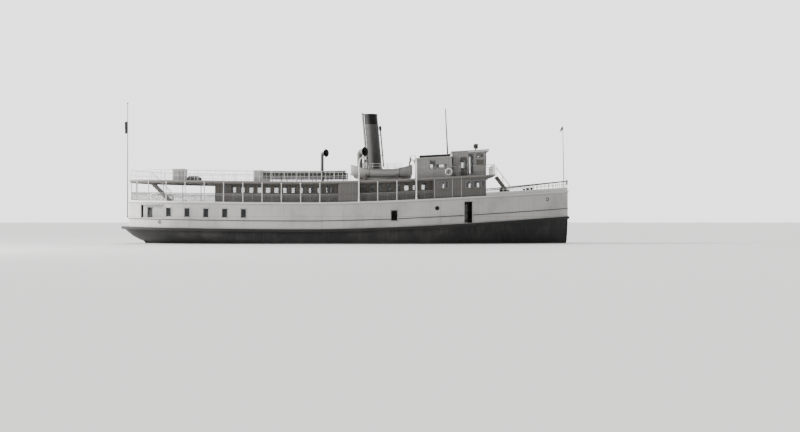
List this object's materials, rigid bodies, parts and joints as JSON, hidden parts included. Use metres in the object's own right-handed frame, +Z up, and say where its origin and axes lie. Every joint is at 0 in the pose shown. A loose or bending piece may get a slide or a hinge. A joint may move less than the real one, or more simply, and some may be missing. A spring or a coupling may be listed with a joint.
{
  "type": "1:2 scale model of a steam passenger ferry",
  "caption": "Double-decked screw steam ferry with a raked funnel, saloon, pilothouse, lifeboats under davits, railed decks and open stairs, as a 1:2 scale model that floats.",
  "frame": {"origin": "amidships on the centreline at the waterline", "axes": "+X forward to the bow, +Y to port, +Z up"},
  "size_m": [25.35, 5.2, 9.27],
  "materials": {
    "hull_black": "flat black paint",
    "white_paint": "satin white paint, weathered",
    "grey_paint": "satin mid-grey paint",
    "deck_planks": "scrubbed planks",
    "deck_canvas": "painted canvas",
    "dark_wood": "varnished dark wood",
    "iron": "painted iron",
    "bronze": "cast bronze",
    "flag": "plain woven cloth"
  },
  "bodies": {
    "ship": {"hull": "hull_black", "boiler_and_engine": "iron", "main_deck": "hull_black", "stern_lobby": "white_paint", "boiler_casing": "white_paint", "promenade_deck": "deck_planks", "hurricane_deck": "deck_canvas", "saloon_aft_wall": "white_paint", "funnel": "grey_paint", "officers_house": "white_paint", "officers_house_roof": "white_paint", "signal_mast": "white_paint", "pilothouse": "white_paint", "pilothouse_roof": "grey_paint", "helm_stand": "dark_wood", "stern_stair": "dark_wood", "foredeck_stair": "dark_wood", "deck_box": "white_paint", "life_raft": "deck_canvas", "windlass": "iron", "ensign_staff": "white_paint", "ensign": "flag", "jackstaff": "white_paint", "side_plating_starboard": "white_paint", "side_plating_port": "white_paint", "promenade_rail_aft_starboard": "white_paint", "promenade_rail_aft_port": "white_paint", "promenade_rail_fore_starboard": "white_paint", "promenade_rail_fore_port": "white_paint", "saloon_side_starboard": "white_paint", "saloon_side_port": "white_paint", "side_lobby_starboard": "white_paint", "side_lobby_port": "white_paint", "forward_house_starboard": "white_paint", "forward_house_port": "white_paint", "foredeck_rail_starboard": "white_paint", "foredeck_rail_port": "white_paint", "hurricane_rail_aft_starboard": "white_paint", "hurricane_rail_aft_port": "white_paint", "hurricane_rail_fore_starboard": "white_paint", "hurricane_rail_fore_port": "white_paint", "lifeboat_starboard": "white_paint", "lifeboat_port": "white_paint", "bench_row_starboard": "grey_paint", "bench_row_port": "grey_paint"},
    "propeller": {"propeller": "bronze"},
    "rudder": {"rudder": "hull_black"},
    "helm_wheel": {"helm_wheel": "dark_wood"},
    "freight_door_starboard": {"freight_door_starboard": "dark_wood"},
    "freight_door_port": {"freight_door_port": "dark_wood"},
    "pilothouse_door_starboard": {"pilothouse_door_starboard": "dark_wood"},
    "pilothouse_door_port": {"pilothouse_door_port": "dark_wood"},
    "searchlight": {"searchlight": "iron"},
    "ventilator_starboard": {"ventilator_starboard": "grey_paint"},
    "ventilator_port": {"ventilator_port": "grey_paint"},
    "ventilator_aft": {"ventilator_aft": "grey_paint"},
    "davit_aft_starboard": {"davit_aft_starboard": "white_paint"},
    "davit_fore_starboard": {"davit_fore_starboard": "white_paint"},
    "davit_aft_port": {"davit_aft_port": "white_paint"},
    "davit_fore_port": {"davit_fore_port": "white_paint"}
  },
  "joints": [
    {"name": "propeller_spin", "type": "hinge", "parent": "ship", "child": "propeller", "pos_m": [-10.65, 0, -0.675], "axis": [1, 0, 0], "continuous": true},
    {"name": "rudder_turn", "type": "hinge", "parent": "ship", "child": "rudder", "pos_m": [-11.075, 0, 0], "axis": [0, 0, 1], "range_deg": [-35, 35]},
    {"name": "helm_turn", "type": "hinge", "parent": "ship", "child": "helm_wheel", "pos_m": [7.175, 0, 4.34827], "axis": [1, 0, 0], "range_deg": [-360, 360]},
    {"name": "freight_door_starboard_slide", "type": "slide", "parent": "ship", "child": "freight_door_starboard", "axis": [0.9895, 0.1447, 0], "range_m": [0, 0.5306]},
    {"name": "freight_door_port_slide", "type": "slide", "parent": "ship", "child": "freight_door_port", "axis": [-0.9895, 0.1447, 0], "range_m": [0, 0.5306]},
    {"name": "pilothouse_door_starboard_swing", "type": "hinge", "parent": "ship", "child": "pilothouse_door_starboard", "pos_m": [6.395, -1.2603, 4.3], "axis": [0, 0, -1], "range_deg": [0, 100]},
    {"name": "pilothouse_door_port_swing", "type": "hinge", "parent": "ship", "child": "pilothouse_door_port", "pos_m": [6.395, 1.2603, 4.3], "axis": [0, 0, 1], "range_deg": [0, 100]},
    {"name": "searchlight_train", "type": "hinge", "parent": "ship", "child": "searchlight", "pos_m": [7.35, 0, 5.3], "axis": [0, 0, 1], "range_deg": [-170, 170]},
    {"name": "ventilator_starboard_turn", "type": "hinge", "parent": "ship", "child": "ventilator_starboard", "pos_m": [0.83, -1.075, 3.6], "axis": [0, 0, 1], "continuous": true},
    {"name": "ventilator_port_turn", "type": "hinge", "parent": "ship", "child": "ventilator_port", "pos_m": [1.1, 1.075, 3.6], "axis": [0, 0, 1], "continuous": true},
    {"name": "ventilator_aft_turn", "type": "hinge", "parent": "ship", "child": "ventilator_aft", "pos_m": [-1.3, -0.6, 3.6], "axis": [0, 0, 1], "continuous": true},
    {"name": "davit_aft_starboard_swing", "type": "hinge", "parent": "ship", "child": "davit_aft_starboard", "pos_m": [0.835, -2.51, 3], "axis": [0, 0, 1], "range_deg": [-170, 170]},
    {"name": "davit_aft_port_swing", "type": "hinge", "parent": "ship", "child": "davit_aft_port", "pos_m": [0.835, 2.51, 3], "axis": [0, 0, 1], "range_deg": [-170, 170]},
    {"name": "davit_fore_starboard_swing", "type": "hinge", "parent": "ship", "child": "davit_fore_starboard", "pos_m": [3.965, -2.51, 3], "axis": [0, 0, 1], "range_deg": [-170, 170]},
    {"name": "davit_fore_port_swing", "type": "hinge", "parent": "ship", "child": "davit_fore_port", "pos_m": [3.965, 2.51, 3], "axis": [0, 0, 1], "range_deg": [-170, 170]}
  ],
  "couplings": [
    {"joint": "helm_turn", "follows": "rudder_turn", "ratio": 10}
  ]
}
